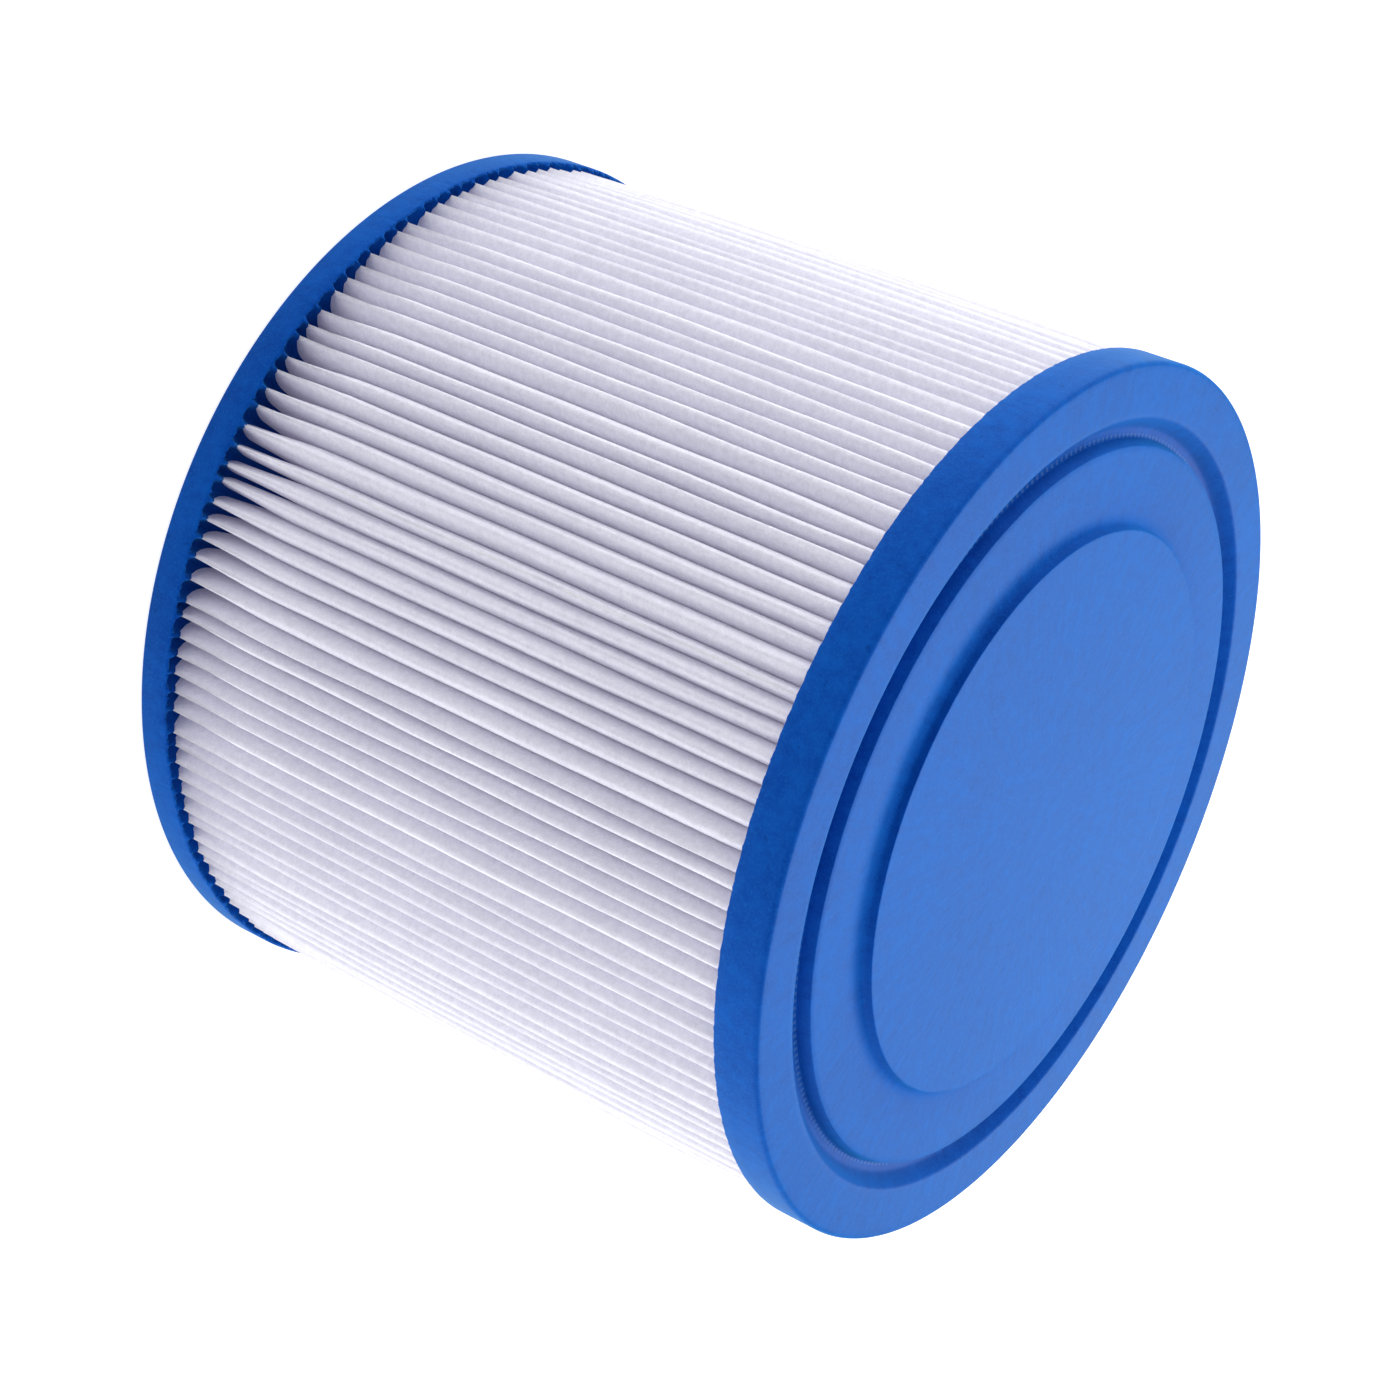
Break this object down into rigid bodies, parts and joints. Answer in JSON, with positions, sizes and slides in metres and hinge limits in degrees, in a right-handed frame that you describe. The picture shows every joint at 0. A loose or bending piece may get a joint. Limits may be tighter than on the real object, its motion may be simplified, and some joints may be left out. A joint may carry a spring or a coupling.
{
  "type": "filter cartridge",
  "caption": "Round pleated filter cartridge for a spa or small pool, with one closed and one open cast end cap around a pierced centre core.",
  "frame": {"origin": "centre of the open end cap's outer face, on the cartridge's axis, where it stands", "axes": "+Z along the cartridge's axis from the open end to the closed end; the media's seam faces near -Y, 3 degrees towards -X"},
  "size_m": [0.1524, 0.1524, 0.1289],
  "materials": {
    "cast_polyurethane": "blue cast polyurethane, satin, slightly rubbery",
    "polyester_media": "white spunbonded polyester sheet, matt with a fine fibre texture",
    "hot_melt": "off-white hot-melt adhesive, waxy",
    "core_plastic": "white moulded plastic, satin"
  },
  "bodies": {
    "root": {"closed_end_cap": "cast_polyurethane", "open_end_cap": "cast_polyurethane", "pleated_media": "polyester_media", "seam_adhesive": "hot_melt", "centre_core": "core_plastic"}
  },
  "joints": []
}
